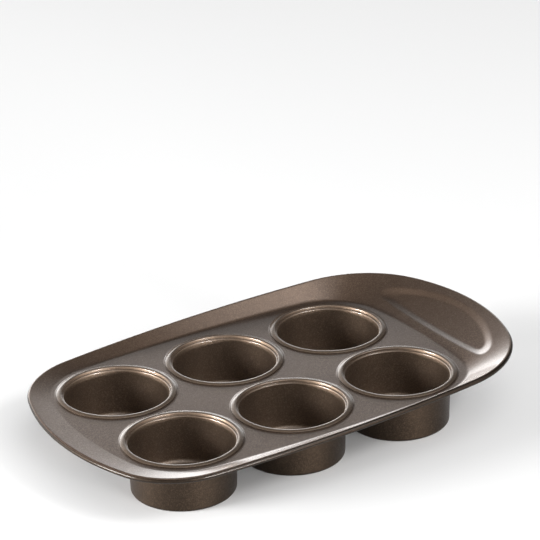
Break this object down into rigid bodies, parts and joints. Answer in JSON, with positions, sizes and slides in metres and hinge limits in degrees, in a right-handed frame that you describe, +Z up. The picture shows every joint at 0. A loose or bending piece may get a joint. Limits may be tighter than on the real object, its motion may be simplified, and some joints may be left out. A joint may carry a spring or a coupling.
{
  "type": "muffin pan",
  "caption": "Muffin pan of dark coated steel: deep round cups seamed into a flat frame that has a raised, rolled rim and a wide thumb panel with a D-shaped hollow at one end.",
  "frame": {"origin": "middle of the pan's outer box, on the table that the cups stand on", "axes": "+X towards the end with the thumb panel, +Y towards the back row of cups, +Z up out of the cups"},
  "size_m": [0.3224, 0.2044, 0.0467],
  "materials": {
    "frame_coating": "dark bronze non-stick coating with fine metallic flake, satin",
    "cup_coating": "dark bronze non-stick coating with fine metallic flake, satin",
    "bare_wire": "plain drawn steel wire, hidden in the rim"
  },
  "bodies": {
    "root": {"pan_frame": "frame_coating", "cup_front_left": "cup_coating", "cup_front_middle": "cup_coating", "cup_front_right": "cup_coating", "cup_back_left": "cup_coating", "cup_back_middle": "cup_coating", "cup_back_right": "cup_coating", "rim_wire": "bare_wire"}
  },
  "joints": []
}
